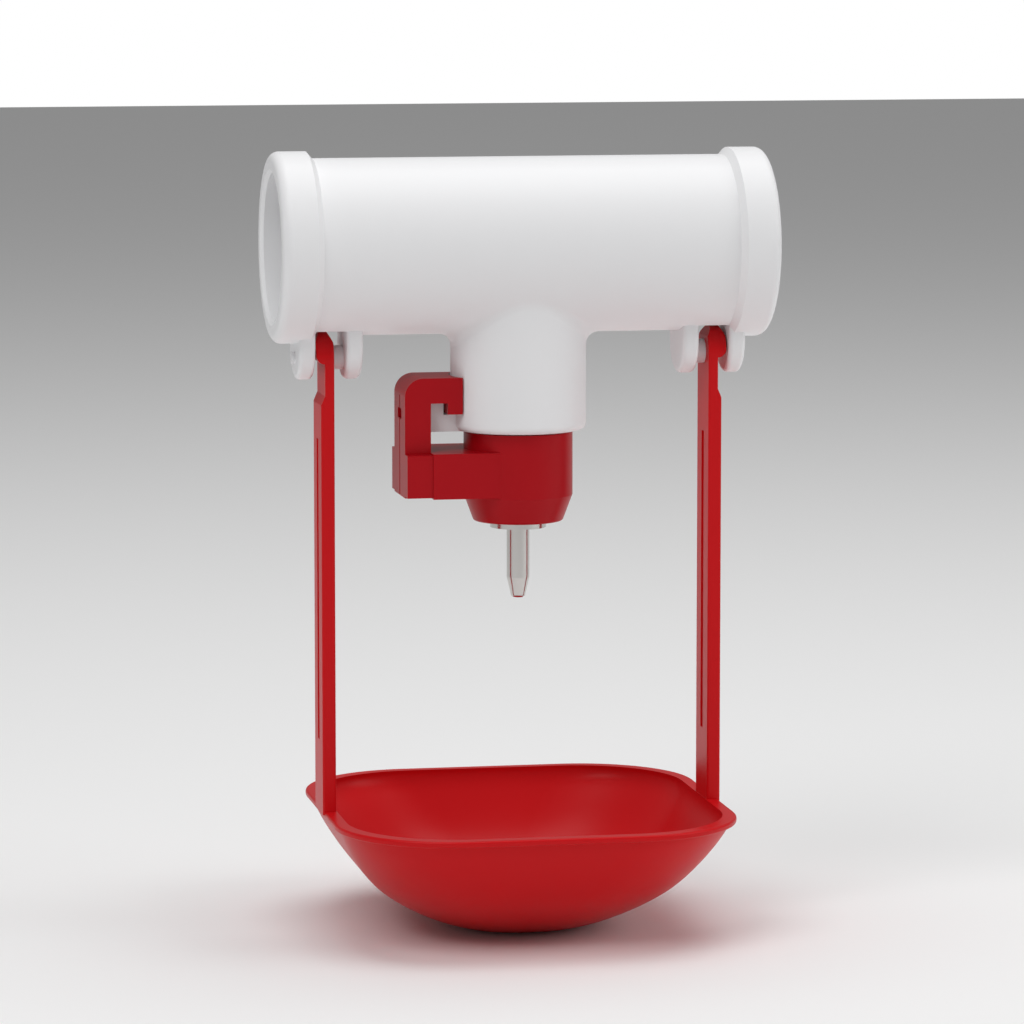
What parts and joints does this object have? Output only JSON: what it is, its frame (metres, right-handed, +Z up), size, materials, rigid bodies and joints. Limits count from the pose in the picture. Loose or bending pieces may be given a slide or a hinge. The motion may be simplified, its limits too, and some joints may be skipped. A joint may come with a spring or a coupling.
{
  "type": "poultry nipple drinker",
  "caption": "Pipe tee with a push-pin nipple valve latched into its branch and a drip cup swinging on two arms below it.",
  "frame": {"origin": "where the axis of the water pipe crosses the axis of the branch", "axes": "+X along the pipe, +Z up, -Y towards the side from which the latch hook is at the left"},
  "size_m": [0.085, 0.072, 0.1332],
  "materials": {
    "white_plastic": "milky moulded polypropylene",
    "red_cup_plastic": "satin moulded polypropylene",
    "red_nipple_plastic": "fine grained moulding",
    "seal_rubber": "smooth rubber",
    "stainless": "turned stainless steel"
  },
  "bodies": {
    "fitting": {"tee_fitting": "white_plastic", "nipple_body": "red_nipple_plastic", "branch_seal": "seal_rubber", "valve_bush": "stainless", "seat_ring": "stainless"},
    "cup": {"drip_cup": "red_cup_plastic"},
    "plug": {"valve_plug": "stainless"},
    "pin": {"trigger_pin": "stainless"}
  },
  "joints": [
    {"name": "cup_swing", "type": "hinge", "parent": "fitting", "child": "cup", "pos_m": [0, 0, -0.0187], "axis": [1, 0, 0], "range_deg": [-90, 90]},
    {"name": "valve_lift", "type": "slide", "parent": "fitting", "child": "plug", "axis": [0, 0, 1], "range_m": [0, 0.0009]},
    {"name": "trigger_tilt", "type": "hinge", "parent": "plug", "child": "pin", "pos_m": [0, 0, -0.0439], "axis": [0, 1, 0], "range_deg": [-6, 6]}
  ]
}
